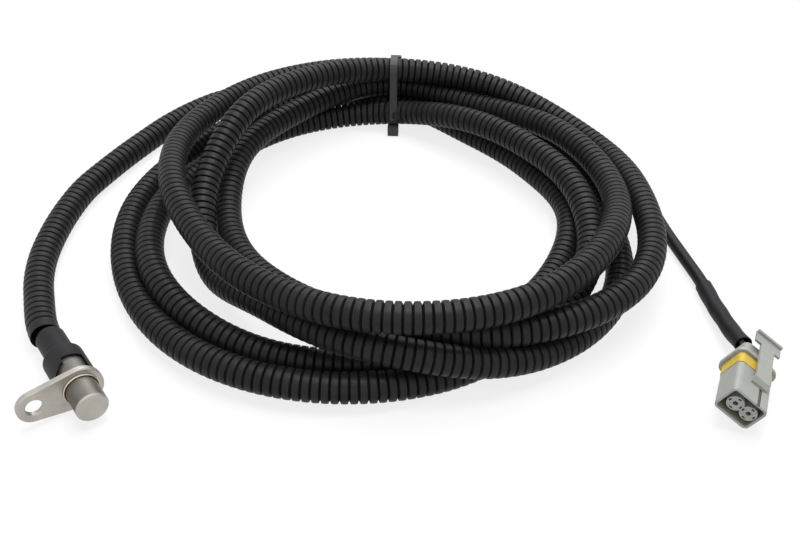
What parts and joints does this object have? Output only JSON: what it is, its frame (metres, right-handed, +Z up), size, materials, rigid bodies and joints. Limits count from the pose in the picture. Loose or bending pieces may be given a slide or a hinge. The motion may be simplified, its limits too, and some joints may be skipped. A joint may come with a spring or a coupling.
{
  "type": "wheel speed sensor",
  "caption": "Wheel speed sensor head on a bolt-on flange, with a boot, a long lead in a coiled corrugated conduit and a keyed plug with a latch lever.",
  "frame": {"origin": "on the surface that the part lies on, under the middle of the sensor head's box", "axes": "+Z up. +Y away from the viewer, so the coil and the plug lie behind and to the right (+X) of the head, whose can points forwards and to the right"},
  "size_m": [0.3828, 0.3193, 0.0537],
  "materials": {
    "steel": "dull drawn and stamped steel",
    "braze": "brazing metal round the can's foot",
    "iron": "soft iron, unseen",
    "copper": "enamelled copper wire, unseen",
    "tin": "tinned contact metal",
    "ferrite": "sintered magnet, unseen",
    "resin": "cast resin, unseen",
    "boot_rubber": "moulded rubber, satin",
    "conduit": "ribbed polyamide tube, satin",
    "cable_jacket": "smooth jacket, satin",
    "nylon": "moulded nylon",
    "grey_plastic": "light grey moulded plastic",
    "yellow_plastic": "yellow moulded plastic",
    "white_plastic": "white moulded plastic",
    "seal_rubber": "silicone wire seal, unseen"
  },
  "bodies": {
    "root": {"sensor_can": "steel", "mounting_flange": "steel", "brazing_ring": "braze", "clamp_sleeve": "steel", "boot": "boot_rubber", "pole_pin": "iron", "bobbin": "white_plastic", "winding": "copper", "magnet": "ferrite", "crimp_splice_1": "tin", "crimp_splice_2": "tin", "sensor_cable": "cable_jacket", "potting": "resin", "conduit_lead": "conduit", "conduit_coil": "conduit", "cable_tie": "nylon", "cable_tail": "cable_jacket", "shrink_sleeve": "boot_rubber", "core_wire_1": "nylon", "core_wire_2": "white_plastic", "connector_housing": "grey_plastic", "terminal_carrier": "grey_plastic", "lock_band": "yellow_plastic", "rear_cap": "grey_plastic", "terminal_1": "tin", "terminal_2": "tin", "wire_seal_1": "seal_rubber", "wire_seal_2": "seal_rubber"}
  },
  "joints": []
}
